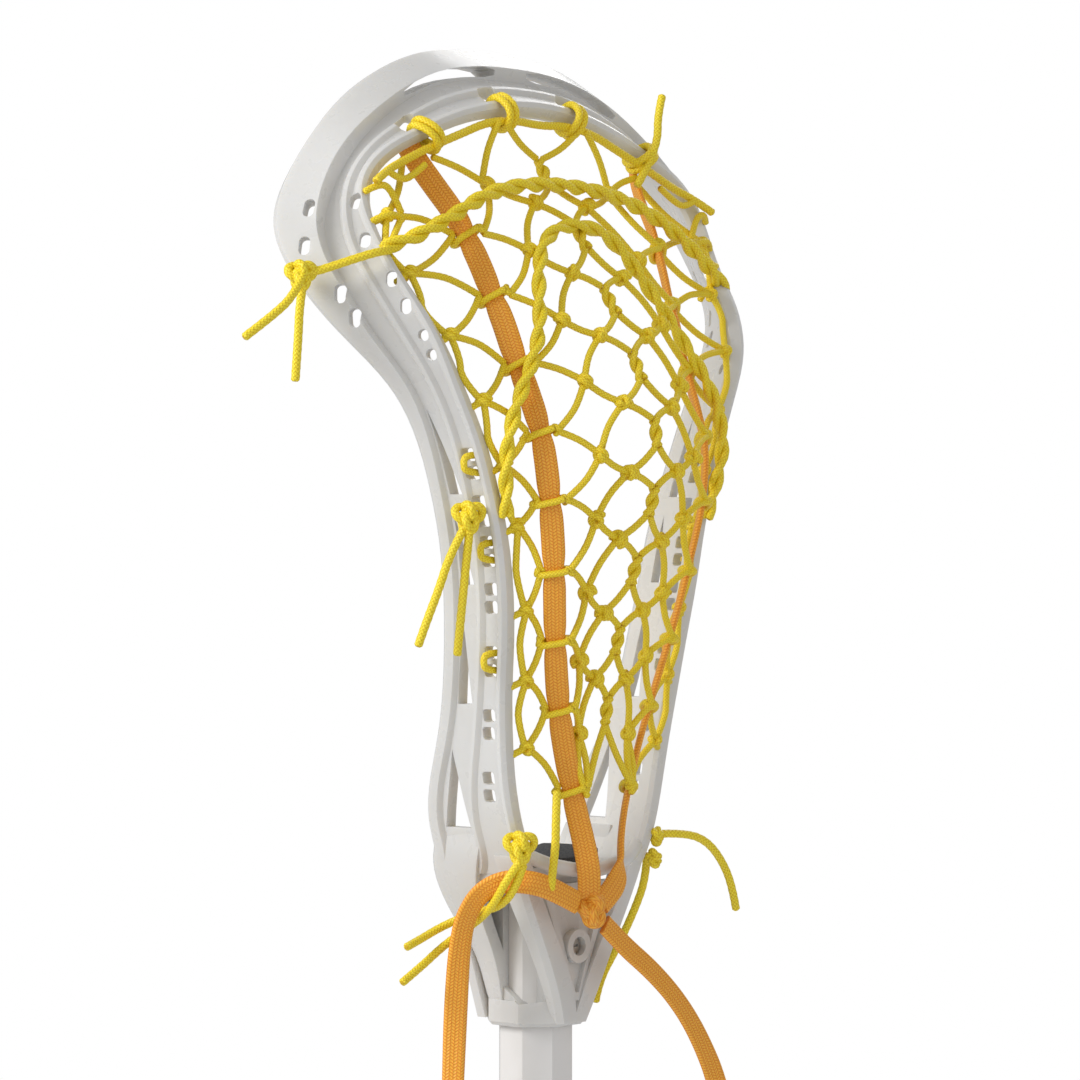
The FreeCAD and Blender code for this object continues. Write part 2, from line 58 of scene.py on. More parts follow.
def at(x, y, height):
    """A point of the head in the frame's metres."""
    return Vector((x * MM, y * MM, HEAD_Z + height * MM))


def between(table, key):
    """Linear interpolation down a table whose first column is sorted either way."""
    rows = sorted(table)
    return [float(np.interp(key, [row[0] for row in rows], [row[i] for row in rows]))
            for i in range(1, len(rows[0]))]


# ---------------------------------------------------------------- camera, floor and light

CAMERA_TURN = math.radians(-48)
CAMERA_AWAY = 1.25
CAMERA_HEIGHT = HEAD_Z + 149.4 * MM
CAMERA_SIDE = 1.4 * MM
FLOOR_RADIUS = 2.6
BACK = Vector((math.sin(CAMERA_TURN), -math.cos(CAMERA_TURN), 0))
RIGHT = Vector((math.cos(CAMERA_TURN), math.sin(CAMERA_TURN), 0))


def make_camera():
    data = bpy.data.cameras.new("camera")
    data.lens = 134.4
    data.sensor_width = 36.0
    data.clip_end = 50.0
    camera = bpy.data.objects.new("camera", data)
    camera.location = BACK * CAMERA_AWAY + RIGHT * CAMERA_SIDE + Vector((0, 0, CAMERA_HEIGHT))
    camera.rotation_euler = (math.pi / 2, 0, CAMERA_TURN)
    bpy.context.scene.collection.objects.link(camera)
    bpy.context.scene.camera = camera


def area_light(name, direction, distance, size, power, colour=(1, 1, 1)):
    """A square soft box aimed at the middle of the head."""
    data = bpy.data.lights.new(name, "AREA")
    data.size = size
    data.energy = power
    data.color = colour
    lamp = bpy.data.objects.new(name, data)
    target = Vector((0, 0, CAMERA_HEIGHT))
    offset = Vector(direction).normalized() * distance
    lamp.location = target + offset
    lamp.rotation_euler = (-offset).to_track_quat("-Z", "Y").to_euler()
    bpy.context.scene.collection.objects.link(lamp)


def make_stage():
    """A pale floor under the stick, white all round, and three soft boxes."""
    mesh = bpy.data.meshes.new("floor")
    sides = 64
    corners = [(FLOOR_RADIUS * math.cos(i * 2 * math.pi / sides),
                FLOOR_RADIUS * math.sin(i * 2 * math.pi / sides), 0) for i in range(sides)]
    mesh.from_pydata(corners, [], [list(range(sides))])
    floor = bpy.data.objects.new("floor", mesh)
    bpy.context.scene.collection.objects.link(floor)
    material = bpy.data.materials.new("floor_white")
    material.use_nodes = True
    shader = material.node_tree.nodes["Principled BSDF"]
    shader.inputs["Base Color"].default_value = (0.9, 0.9, 0.9, 1)
    shader.inputs["Roughness"].default_value = 0.7
    mesh.materials.append(material)

    world = bpy.data.worlds.new("white")
    world.use_nodes = True
    bpy.context.scene.world = world
    tree = world.node_tree
    tree.nodes.clear()
    out = tree.nodes.new("ShaderNodeOutputWorld")
    seen = tree.nodes.new("ShaderNodeBackground")
    light = tree.nodes.new("ShaderNodeBackground")
    mix = tree.nodes.new("ShaderNodeMixShader")
    path = tree.nodes.new("ShaderNodeLightPath")
    seen.inputs["Color"].default_value = (1, 1, 1, 1)
    seen.inputs["Strength"].default_value = 1.0
    light.inputs["Color"].default_value = (1, 1, 1, 1)
    light.inputs["Strength"].default_value = 0.44
    tree.links.new(path.outputs["Is Camera Ray"], mix.inputs["Fac"])
    tree.links.new(light.outputs[0], mix.inputs[1])
    tree.links.new(seen.outputs[0], mix.inputs[2])
    tree.links.new(mix.outputs[0], out.inputs["Surface"])

    up = Vector((0, 0, 1))
    area_light("key", BACK * 0.47 - RIGHT * 0.88 + up * 0.5, 1.6, 0.7, 19)
    area_light("fill", BACK * 0.9 + RIGHT * 0.5 + up * 0.4, 1.8, 0.9, 4)
    area_light("rim", -BACK * 0.9 + RIGHT * 0.4 + up * 0.7, 1.6, 0.9, 5)
    bpy.context.scene.view_settings.view_transform = "Standard"


# ---------------------------------------------------------------- materials

class Look:
    """A Principled material with small helpers for its node tree."""

    def __init__(self, name, colour, roughness, **values):
        self.material = bpy.data.materials.new(name)
        self.material.use_nodes = True
        self.tree = self.material.node_tree
        self.shader = self.tree.nodes["Principled BSDF"]
        self.shader.inputs["Base Color"].default_value = (*colour, 1)
        self.shader.inputs["Roughness"].default_value = roughness
        for key, value in values.items():
            self.shader.inputs[key.replace("_", " ")].default_value = value

    def node(self, kind, **inputs):
        made = self.tree.nodes.new("ShaderNode" + kind)
        for key, value in inputs.items():
            made.inputs[key].default_value = value
        return made

    def link(self, out, into):
        self.tree.links.new(out, into)

    def noise(self, scale, detail=3.0):
        """Noise fixed to the object, in features per metre."""
        place = self.node("TexCoord")
        noise = self.node("TexNoise", Scale=scale, Detail=detail)
        self.link(place.outputs["Object"], noise.inputs["Vector"])
        return noise.outputs["Fac"]

    def ramp(self, factor, stops):
        ramp = self.node("ValToRGB")
        elements = ramp.color_ramp.elements
        while len(elements) < len(stops):
            elements.new(0.5)
        for element, (place, colour) in zip(elements, stops):
            element.position = place
            element.color = (*colour, 1)
        self.link(factor, ramp.inputs["Fac"])
        return ramp.outputs["Color"]

    def scaled(self, factor, low, high):
        """A 0 to 1 signal stretched to a range of roughness or height."""
        span = self.node("MapRange")
        span.inputs["To Min"].default_value = low
        span.inputs["To Max"].default_value = high
        self.link(factor, span.inputs["Value"])
        return span.outputs["Result"]

    def math(self, operation, first, second=0.0):
        """One arithmetic node; each operand is a number or another node's output."""
        made = self.node("Math")
        made.operation = operation
        for slot, value in zip(made.inputs, (first, second)):
            if isinstance(value, float):
                slot.default_value = value
            else:
                self.link(value, slot)
        return made.outputs[0]

    def bump(self, height, distance, strength=1.0):
        bump = self.node("Bump", Strength=strength, Distance=distance)
        self.link(height, bump.inputs["Height"])
        self.link(bump.outputs["Normal"], self.shader.inputs["Normal"])


def mixed(look, factor, colour_a, colour_b):
    mix = look.node("Mix")
    mix.data_type = "RGBA"
    look.link(factor, mix.inputs["Factor"])
    for socket, colour in (("A", colour_a), ("B", colour_b)):
        slot = [s for s in mix.inputs if s.name == socket and s.type == "RGBA"][0]
        if isinstance(colour, tuple):
            slot.default_value = (*colour, 1)
        else:
            look.link(colour, slot)
    return [s for s in mix.outputs if s.type == "RGBA"][0]


def moulded_plastic():
    """White nylon: slightly milky, glossy, with faint flow marks and fine scuffs."""
    look = Look("white_moulding", (0.68, 0.675, 0.66), 0.28, Coat_Weight=0.35, Coat_Roughness=0.12,
                Subsurface_Weight=0.35, Subsurface_Scale=0.006, IOR=1.5)
    look.shader.inputs["Subsurface Radius"].default_value = (1.0, 0.9, 0.75)
    cloud = look.noise(22.0, 4.0)
    colour = look.ramp(cloud, [(0.3, (0.65, 0.642, 0.62)), (0.7, (0.705, 0.70, 0.688))])
    look.link(colour, look.shader.inputs["Base Color"])
    look.link(look.scaled(look.noise(160.0, 6.0), 0.2, 0.38), look.shader.inputs["Roughness"])
    look.bump(look.noise(900.0, 4.0), 0.00008, 0.35)
    return look.material


def painted_shaft():
    """White satin paint over a drawn tube, with fine lengthwise marks."""
    look = Look("white_shaft_paint", (0.80, 0.79, 0.77), 0.32, Coat_Weight=0.25,
                Coat_Roughness=0.18)
    place = look.node("TexCoord")
    stretch = look.node("Mapping")
    stretch.inputs["Scale"].default_value = (1400.0, 1400.0, 30.0)
    grain = look.node("TexNoise", Scale=1.0, Detail=3.0)
    look.link(place.outputs["Object"], stretch.inputs["Vector"])
    look.link(stretch.outputs["Vector"], grain.inputs["Vector"])
    look.link(look.scaled(grain.outputs["Fac"], 0.25, 0.42), look.shader.inputs["Roughness"])
    wear = look.ramp(look.noise(40.0, 6.0), [(0.35, (0.77, 0.76, 0.74)), (0.6, (0.82, 0.81, 0.8))])
    look.link(wear, look.shader.inputs["Base Color"])
    look.bump(grain.outputs["Fac"], 0.00004, 0.3)
    return look.material


def rubber():
    """Black moulded rubber with a fine eggshell grain and dusty high spots."""
    look = Look("black_rubber", (0.022, 0.022, 0.024), 0.62)
    dust = look.ramp(look.noise(60.0, 6.0),
                     [(0.45, (0.018, 0.018, 0.02)), (0.75, (0.05, 0.05, 0.05))])
    look.link(dust, look.shader.inputs["Base Color"])
    look.link(look.scaled(look.noise(300.0, 2.0), 0.5, 0.75), look.shader.inputs["Roughness"])
    look.bump(look.noise(2200.0, 2.0), 0.0001, 0.5)
    return look.material


def foam():
    """Dark closed-cell foam, open where it was cut."""
    look = Look("dark_foam", (0.03, 0.032, 0.036), 0.9)
    place = look.node("TexCoord")
    cells = look.node("TexVoronoi", Scale=1400.0)
    look.link(place.outputs["Object"], cells.inputs["Vector"])
    # Painted shade: the cell pits, low in the bump, are coloured darker than the cell walls.
    shade = look.ramp(cells.outputs["Distance"],
                      [(0.0, (0.012, 0.013, 0.015)), (0.6, (0.06, 0.063, 0.07))])
    look.link(shade, look.shader.inputs["Base Color"])
    look.bump(cells.outputs["Distance"], 0.0003, 0.6)
    return look.material


def steel():
    look = Look("plated_steel", (0.62, 0.61, 0.58), 0.3, Metallic=1.0)
    look.link(look.scaled(look.noise(700.0, 4.0), 0.22, 0.45), look.shader.inputs["Roughness"])
    tint = look.ramp(look.noise(120.0, 3.0), [(0.3, (0.5, 0.49, 0.46)), (0.7, (0.68, 0.67, 0.64))])
    look.link(tint, look.shader.inputs["Base Color"])
    return look.material


STITCHES = 6              # strands each way round a cord, or half the stitch columns of a strap


def braid_crown(look, around, along):
    """Height of a braid's strands: two sets of strands that pass over each other in turn."""
    a = look.math("ADD", around, along)
    b = look.math("SUBTRACT", around, along)
    floors = look.math("ADD", look.math("FLOOR", a), look.math("FLOOR", b))
    over = look.math("FLOORED_MODULO", floors, 2.0)
    crowns = [look.math("SINE", look.math("MULTIPLY", look.math("FRACT", x), math.pi))
              for x in (a, b)]
    return look.math("ADD", look.math("MULTIPLY", crowns[0], over),
                     look.math("MULTIPLY", crowns[1], look.math("SUBTRACT", 1.0, over)))


def stitch_crown(look, around, along):
    """Height of a woven strap's stitches: columns that slant one way and the other in turn."""
    column = look.math("MULTIPLY", around, 2.0)
    across = look.math("FRACT", column)
    turn = look.math("FLOORED_MODULO", look.math("FLOOR", column), 2.0)
    slant = look.math("MULTIPLY", look.math("SUBTRACT", turn, 0.5), 1.3)
    stitch = look.math("FRACT", look.math("ADD", along, look.math("MULTIPLY", across, slant)))
    ridge = look.math("SINE", look.math("MULTIPLY", across, math.pi))
    bead = look.math("SINE", look.math("MULTIPLY", stitch, math.pi))
    return look.math("MULTIPLY", look.math("POWER", ridge, 0.5), bead)


def fibre(name, deep, mid, crown_highlight_colour, crown, depth):
    """Nylon yarn: 'weave' holds how far round and along the cord each corner is. Its colour carries
    painted shade in the grooves between strands and a painted highlight on their crowns.
    """
    look = Look(name, mid, 0.5, Sheen_Weight=0.15, Sheen_Roughness=0.35,
                Subsurface_Weight=0.06, Subsurface_Scale=0.001)
    look.shader.inputs["Sheen Tint"].default_value = (*crown_highlight_colour, 1)
    look.shader.inputs["Subsurface Radius"].default_value = (1.0, 0.7, 0.25)
    weave = look.node("Attribute")
    weave.attribute_name = "weave"
    parts = look.node("SeparateXYZ")
    look.link(weave.outputs["Vector"], parts.inputs[0])
    around = look.math("MULTIPLY", parts.outputs["X"], float(STITCHES))
    height = crown(look, around, parts.outputs["Y"])
    # Painted shade and highlight: the deep colour falls in the low grooves between strands, and the
    # bright one on the high crowns.
    threads_painted_shading = look.ramp(height, [(0.0, deep), (0.45, mid), (1.0, crown_highlight_colour)])
    faded_painted_shading = mixed(look, look.scaled(look.noise(75.0, 3.0), 0.0, 0.3), threads_painted_shading, mid)
    look.link(faded_painted_shading, look.shader.inputs["Base Color"])
    look.link(look.scaled(look.noise(1500.0, 2.0), 0.36, 0.6), look.shader.inputs["Roughness"])
    look.bump(height, depth, 0.8)
    return look.material


# ---------------------------------------------------------------- lines

def smooth_line(points, name="route"):
    """Points along the NURBS curve that has the given points as its control points."""
    curve = route_curve(points, name)
    thing = bpy.data.objects.new(name, curve)
    mesh = bpy.data.meshes.new_from_object(thing)
    line = np.array([vertex.co for vertex in mesh.vertices])
    bpy.data.objects.remove(thing)
    bpy.data.meshes.remove(mesh)
    bpy.data.curves.remove(curve)
    return line


def route_curve(points, name):
    curve = bpy.data.curves.new(name, "CURVE")
    curve.dimensions = "3D"
    curve.resolution_u = 12
    spline = curve.splines.new("NURBS")
    spline.points.add(len(points) - 1)
    for place, point in zip(spline.points, points):
        place.co = (*point, 1.0)
    spline.order_u = 3
    spline.use_endpoint_u = True
    return curve


def resample(line, step):
    """The line at even steps of about this many metres."""
    line = np.asarray(line, float)
    runs = np.linalg.norm(np.diff(line, axis=0), axis=1)
    line = line[np.concatenate([[True], runs > 1e-9])]
    reach = np.concatenate([[0.0], np.cumsum(np.linalg.norm(np.diff(line, axis=0), axis=1))])
    count = max(int(round(reach[-1] / step)), 3)
    marks = np.linspace(0, reach[-1], count + 1)
    return np.stack([np.interp(marks, reach, line[:, i]) for i in range(3)], axis=1)


def unit(rows):
    return rows / np.maximum(np.linalg.norm(rows, axis=-1, keepdims=True), 1e-12)


def carried_frames(line, start=None):
    """Tangents and two cross directions that turn as little as they can along the line."""
    tangents = unit(np.gradient(line, axis=0))
    seed = np.array([0.3, -0.9, 0.2]) if start is None else np.array(start, float)
    side = seed - tangents[0] * seed.dot(tangents[0])
    sides = []
    for tangent in tangents:
        side = side - tangent * side.dot(tangent)
        side = side / max(np.linalg.norm(side), 1e-12)
        sides.append(side)
    sides = np.array(sides)
    return tangents, sides, np.cross(tangents, sides)


# ---------------------------------------------------------------- mesh makers

class Heap:
    """Vertices, faces and weave places of many tubes that become one mesh."""

    def __init__(self):
        self.points, self.faces, self.weave = [], [], []
        self.count = 0

    def add_rings(self, rings, along):
        """A closed tube from rings of points; along is each ring's place in the weave."""
        rows, around, _ = rings.shape
        base = self.count
        ids = base + np.arange(rows * around).reshape(rows, around)
        nxt = np.roll(ids, -1, axis=1)
        quads = np.stack([ids[:-1], nxt[:-1], nxt[1:], ids[1:]], axis=-1).reshape(-1, 4)
        self.points.append(rings.reshape(-1, 3))
        self.faces += quads.tolist()
        weave = np.zeros((rows - 1, around, 4, 3))
        share = np.arange(around) / around
        weave[..., (0, 3), 0] = share[None, :, None]
        weave[..., (1, 2), 0] = share[None, :, None] + 1 / around
        weave[..., (0, 1), 1] = along[:-1, None, None]
        weave[..., (2, 3), 1] = along[1:, None, None]
        self.weave.append(weave.reshape(-1))
        first, last = base + rows * around, base + rows * around + 1
        self.points.append(np.array([rings[0].mean(axis=0), rings[-1].mean(axis=0)]))
        for j in range(around):
            k = (j + 1) % around
            self.faces.append([first, int(ids[0, k]), int(ids[0, j])])
            self.faces.append([last, int(ids[-1, j]), int(ids[-1, k])])
        self.weave.append(np.zeros(around * 2 * 3 * 3))
        self.count = last + 1

    def mesh_object(self, name, material):
        mesh = bpy.data.meshes.new(name)
        mesh.from_pydata(np.concatenate(self.points).tolist(), [], self.faces)
        layer = mesh.attributes.new("weave", "FLOAT_VECTOR", "CORNER")
        layer.data.foreach_set("vector", np.concatenate(self.weave).astype(np.float32))
        mesh.polygons.foreach_set("use_smooth", [True] * len(mesh.polygons))
        mesh.materials.append(material)
        mesh.update()
        thing = bpy.data.objects.new(name, mesh)
        bpy.context.scene.collection.objects.link(thing)
        return thing


RING_STEP = 0.5 * MM
RING_SIDES = 12
BRAID_LENGTH = 0.5        # one crossing of the strands along a cord, as a share of its diameter


def add_braid(heap, line, diameter, closed_end=True, phase=0.0):
    """A braided cord of this diameter in millimetres along a line."""
    radius = diameter * MM / 2
    line = resample(line, RING_STEP)
    _, sides, ups = carried_frames(line)
    turns = np.arange(RING_SIDES) * 2 * math.pi / RING_SIDES
    along = np.arange(len(line)) * RING_STEP / (diameter * BRAID_LENGTH * MM) + phase
    swell = np.sin(along[:, None] * math.pi + turns[None, :] * 3)
    reach = radius * (0.98 + 0.03 * swell)
    if closed_end:
        taper = np.minimum(np.arange(len(line)), np.arange(len(line))[::-1]) * RING_STEP
        reach = reach * np.sqrt(np.clip(taper / (0.5 * radius) + 0.35, 0, 1))[:, None]
    rings = (line[:, None, :] + reach[:, :, None] * (
        np.cos(turns)[None, :, None] * sides[:, None, :]
        + np.sin(turns)[None, :, None] * ups[:, None, :]))
    heap.add_rings(rings, along)


def add_twisted(heap, line, diameter, pitch, opening=0.92):
    """Two braided cords laid round each other."""
    line = resample(line, RING_STEP)
    _, sides, ups = carried_frames(line)
    angle = np.arange(len(line)) * RING_STEP / (pitch * MM) * 2 * math.pi
    offset = opening * diameter * MM / 2
    for strand in range(2):
        turn = (angle + math.pi * strand)[:, None]
        add_braid(heap, line + offset * (np.cos(turn) * sides + np.sin(turn) * ups), diameter,
                  phase=0.3 * strand)


def trefoil(centre, size, facing, spin=0.0, flatten=0.8):
    """An overhand knot drawn tight: its line lies in a disc of this outer radius."""
    facing = Vector(facing).normalized()
    side = facing.orthogonal().normalized()
    up = facing.cross(side)
    points = []
    for step in range(72):
        t = step / 72 * 2 * math.pi
        flat_x = (math.sin(t) + 2 * math.sin(2 * t)) / 3
        flat_y = (math.cos(t) - 2 * math.cos(2 * t)) / 3
        deep = -math.sin(3 * t) / 3 * flatten
        x = flat_x * math.cos(spin) - flat_y * math.sin(spin)
        y = flat_x * math.sin(spin) + flat_y * math.cos(spin)
        points.append(Vector(centre) + (side * x + up * y + facing * deep) * size)
    return [tuple(p) for p in points + points[:1]]


def add_lace_knot(heap, centre, axis, facing, diameter, size, turns=1.7, tilt=0.0):
    """A small knot in the net: a cord wrapped nearly twice round the one it crosses."""
    axis = Vector(axis).normalized()
    facing = Vector(facing) - axis * Vector(facing).dot(axis)
    facing = facing.normalized()
    side = axis.cross(facing)
    pitch = diameter * 0.85 * MM
    points = []
    steps = 26
    for step in range(steps + 1):
        share = step / steps
        turn = (share - 0.5) * turns * 2 * math.pi + tilt
        slide = (share - 0.5) * turns * pitch
        points.append(Vector(centre) + axis * slide
                      + (facing * math.cos(turn) + side * math.sin(turn)) * size * MM)
    add_braid(heap, [tuple(p) for p in points], diameter)


ACROSS_STRAP = 16         # points across each face of a strap
STITCH_LENGTH = 1.0       # along a strap
PINCH = 0.16              # how far a lace tied round it draws a strap in
PINCH_LENGTH = 3.2


def add_webbing(heap, line, normals, width, thick, pinches=()):
    """A flat woven strap with rounded edges, drawn in where a lace is tied round it."""
    count = len(line)
    tangents = unit(np.gradient(line, axis=0))
    sides = unit(np.cross(tangents, normals))
    faces = np.cross(sides, tangents)
    reach = np.concatenate([[0.0], np.cumsum(np.linalg.norm(np.diff(line, axis=0), axis=1))])
    across = np.linspace(-1, 1, ACROSS_STRAP)
    narrow = np.ones(count)
    for pinch in pinches:
        narrow -= PINCH * np.exp(-((reach - pinch * reach[-1]) / (PINCH_LENGTH * MM)) ** 2)
    half = width * MM / 2 * narrow * (1 + 0.02 * np.sin(reach / (9 * MM)))
    columns = np.cos(2.5 * math.pi * across)[None, :] ** 2
    edge = np.sqrt(np.clip(1 - np.abs(across) ** 6, 0.0, 1))[None, :]
    height = thick * MM / 2 * edge * (0.92 + 0.08 * columns) * np.ones((count, 1))
    top = (line[:, None, :] + sides[:, None, :] * (half[:, None] * across[None, :])[:, :, None]
           + faces[:, None, :] * height[:, :, None])
    bottom = (line[:, None, :] + sides[:, None, :] * (half[:, None] * across[None, :])[:, :, None]
              - faces[:, None, :] * height[:, :, None])
    rings = np.concatenate([top[:, ::-1], bottom[:, 1:-1]], axis=1)
    heap.add_rings(rings, reach / (STITCH_LENGTH * MM))


# ---------------------------------------------------------------- the strung net

# Runners by height: half spacing and depth. NET_SAG is how far the net hangs behind them.
RUNNER_PATH = [
    (266.0, 51.0, 4.5), (256.0, 48.0, -2.2), (247.0, 45.5, -8.8), (234.0, 43.0, -15.4),
    (224.0, 41.5, -19.3), (214.5, 40.5, -23.7), (205.0, 39.5, -26.8), (195.0, 38.5, -31.2),
    (185.0, 38.0, -35.2), (176.0, 37.5, -37.5), (161.0, 35.5, -38.0), (143.0, 31.5, -36.0),
    (125.0, 28.0, -33.0), (106.0, 23.3, -29.5), (88.0, 17.8, -27.2), (70.0, 12.0, -26.6),
    (51.0, 7.5, -26.4),
]
NET_SAG = [(70.0, 0.3), (110.0, 1.0), (127.0, 2.5), (147.0, 6.0), (167.0, 11.0), (190.0, 14.0),
           (210.0, 13.0), (225.0, 10.0), (240.0, 8.0), (256.0, 6.0)]
# Inner back edge of the side walls by height: half width and depth
WALL_EDGE = [(62.0, 27.5, -22.0), (90.0, 33.5, -23.0), (105.0, 35.5, -25.0), (120.0, 37.0, -27.0),
             (135.0, 39.5, -28.5), (150.0, 42.5, -29.0), (165.0, 47.0, -29.0),
             (180.0, 52.5, -28.5), (195.0, 59.5, -27.5), (210.0, 67.0, -23.0),
             (225.0, 72.0, -14.0), (240.0, 76.0, -6.0)]
# Heights at which the crosslace goes round the runners
TIES = [240.5, 222.0, 201.5, 181.0, 160.8, 139.8, 118.8, 98.0, 73.5]
OUTER_COLUMN = 0.6        # where the two outer columns of knots sit, as a share of half spacing
INNER_COLUMN = 0.28
OUTER_RISE = 4.8          # how far these knots sit above the middle of the ties beside them
INNER_RISE = 4.6
FIRST_TIE = 264.0         # height of the lashing above the first of the ties
NET_KNOT = 1.5            # radius that a net knot's cord is wrapped at
NET_KNOT_TURNS = 2.0
TWIST = 4.3               # half the height of each twist down the net's middle
WALL_KNOTS = [245.0, 228.0, 209.5, 190.5, 171.5, 153.5, 128.5, 107.5, 87.0]
UPPER_PITCH = 18.5        # length of one turn of the upper shooting string
LOWER_PITCH = 19.0


RUNNER_FACING = (0.72, -0.69)     # outward normal of the right runner's broad face


def runner_edge(side, height, end, lift=0.0):
    """Just past an edge of a runner: end is -1 for the edge nearer the net, 1 for the wall's."""
    half, depth = between(RUNNER_PATH, height)
    out, back = RUNNER_FACING
    reach = 4.4 * end
    return at(side * (half - back * reach), depth + out * reach - 0.6, height + lift)


def net_point(share, height):
    """A point of the net: share runs from -1 at the left runner to 1 at the right one."""
    half, depth = between(RUNNER_PATH, height)
    sag = between(NET_SAG, height)[0]
    return at(share * half, depth - sag * (1 - share * share), height)


def net_facing(share, height):
    """The net's outward normal, towards the back of the stick."""
    up = net_point(share, height + 2) - net_point(share, height - 2)
    over = net_point(share + 0.05, height) - net_point(share - 0.05, height)
    normal = up.cross(over)
    return normal if normal.y < 0 else -normal


def wobble(*keys):
    """A repeatable number from -1 to 1, so that no two meshes of the net are quite alike."""
    return math.sin(12.9898 * keys[0] + 78.233 * keys[-1] + 37.7 * len(keys) * sum(keys))


def lattice():
    """Heights of the knots by column, from the top down: outer, inner and centre."""
    outer = [258.3]
    for high, low in zip(TIES, TIES[1:]):
        outer.append((high + low) / 2 + OUTER_RISE)
    inner = [251.7]
    for high, low in zip(outer[1:], outer[2:]):
        inner.append((high + low) / 2 + INNER_RISE)
    centre = [263.0]
    for high, low in zip(inner, inner[1:]):
        centre.append((high + low) / 2 + 1.5)
    centre.append(inner[-1] - 9.0)
    return outer, inner, centre


def add_lace(heap, a, b, bow, facing, diameter=LACE):
    """A lace from one place to another, bowed a little sideways."""
    a, b = Vector(a), Vector(b)
    run = b - a
    side = run.cross(facing).normalized() * (bow * run.length)
    points = [a, a.lerp(b, 0.33) + side, a.lerp(b, 0.67) + side, b]
    add_braid(heap, smooth_line([tuple(p) for p in points]), diameter, phase=40 * a.x)


def add_ring(heap, centre, across, deep, width, depth, diameter, tilt=0.0, squareness=0.72):
    """One turn of cord round a flat strap or bar."""
    across, deep = Vector(across).normalized(), Vector(deep).normalized()
    along = across.cross(deep)
    points = []
    for step in range(41):
        turn = step / 40 * 2 * math.pi + 0.6
        c, s = math.cos(turn), math.sin(turn)
        x = math.copysign(abs(c) ** squareness, c) * width
        y = math.copysign(abs(s) ** squareness, s) * depth
        points.append(tuple(Vector(centre) + (across * x + deep * y + along * tilt * c) * MM))
    add_braid(heap, points, diameter, closed_end=False)


def add_net(heap, outer, inner, centre):
    """The crosslace: diamonds of lace between the runners, with a twist down the middle."""
    for side in (-1, 1):
        def outer_at(i, rise=0.0):
            share = side * (OUTER_COLUMN + 0.035 * wobble(i + 1, side))
            return net_point(share, outer[i] + rise + wobble(side, i + 2))

        def inner_at(i, rise=0.0):
            share = side * (INNER_COLUMN + 0.03 * wobble(i + 5, side))
            return net_point(share, inner[i] + rise + wobble(side + 3, i))

        def tie_at(i):
            return runner_edge(side, TIES[i] if i >= 0 else FIRST_TIE, -1, 0.8)

        for i in range(len(outer)):
            facing = net_facing(side * OUTER_COLUMN, outer[i])
            add_lace(heap, tie_at(i - 1), outer_at(i), 0.05 * side, facing)
            add_lace(heap, outer_at(i), tie_at(i), 0.07 * side, facing)
            axis = Vector((side * 1.0, 0, -0.35 + 0.4 * wobble(i, side)))
            spot = outer_at(i) + facing.normalized() * 0.3 * MM
            add_lace_knot(heap, spot, axis, facing, LACE, NET_KNOT, NET_KNOT_TURNS,
                          tilt=wobble(i, 7) * 2)
        for i in range(len(inner)):
            facing = net_facing(side * INNER_COLUMN, inner[i])
            add_lace(heap, outer_at(i), inner_at(i), -0.06 * side, facing)
            add_lace(heap, inner_at(i), outer_at(i + 1), -0.07 * side, facing)
            middle = net_point(0, centre[i] - TWIST)
            aside = Vector((side * 0.8 * MM, 0, 0))
            add_lace(heap, middle + aside, inner_at(i), 0.05 * side, facing)
            below = net_point(0, centre[i + 1] + TWIST)
            add_lace(heap, inner_at(i), below + aside, 0.05 * side, facing)
            axis = Vector((side * 1.0, 0, 0.3 + 0.4 * wobble(side, i)))
            add_lace_knot(heap, inner_at(i) + facing.normalized() * 0.3 * MM, axis, facing,
                          LACE, NET_KNOT, NET_KNOT_TURNS, tilt=wobble(i, 3) * 2)
        last = net_point(0, centre[-1] - TWIST)
        foot = tie_at(len(TIES) - 1)
        add_lace(heap, last, foot, 0.03, net_facing(0, centre[-1]))
        add_lace(heap, outer_at(len(outer) - 1, -1.0), foot + Vector((0, 0, -3 * MM)),
                 -0.1 * side, net_facing(0, 90))
    for height in centre:
        line = [tuple(net_point(0, height + TWIST - k * 2 * TWIST / 6)) for k in range(7)]
        add_twisted(heap, line, LACE, 2.3 * TWIST, opening=0.95)


def wall_edge(side, height, inboard=0.0):
    half, depth = between(WALL_EDGE, height)
    return at(side * (half - inboard), depth, height)


def add_wall_lacing(heap, side, knots):
    """The lacing between one runner and its side wall."""
    for i, height in enumerate(knots):
        knot = wall_edge(side, height, inboard=3.0) + Vector((0, -0.6 * MM, 0))
        facing = Vector((0, -1, 0.1))

        def tie_at(j):
            return runner_edge(side, TIES[j] if j >= 0 else FIRST_TIE, 1, 0.4)

        add_lace(heap, tie_at(i - 1), knot, 0.06 * side, facing)
        add_lace(heap, knot, tie_at(i), 0.08 * side, facing)
        axis = Vector((side * 0.7, 0, -0.8))
        add_lace_knot(heap, knot, axis, facing, LACE, 1.3, tilt=wobble(i, side) * 2)
        rail = wall_edge(side, height - 3.0, inboard=-2.5) + Vector((0, 2.5 * MM, 0))
        add_lace(heap, knot, rail, 0.02, facing)
        if i + 1 < len(knots):
            below = wall_edge(side, knots[i + 1], inboard=2.6) + Vector((0, -0.2 * MM, 0))
            edge = wall_edge(side, (height + knots[i + 1]) / 2, inboard=0.2)
            line = smooth_line([tuple(knot), tuple(edge + Vector((0, 0, 3 * MM))),
                                tuple(edge - Vector((0, 0, 3 * MM))), tuple(below)])
            add_braid(heap, line, LACE)


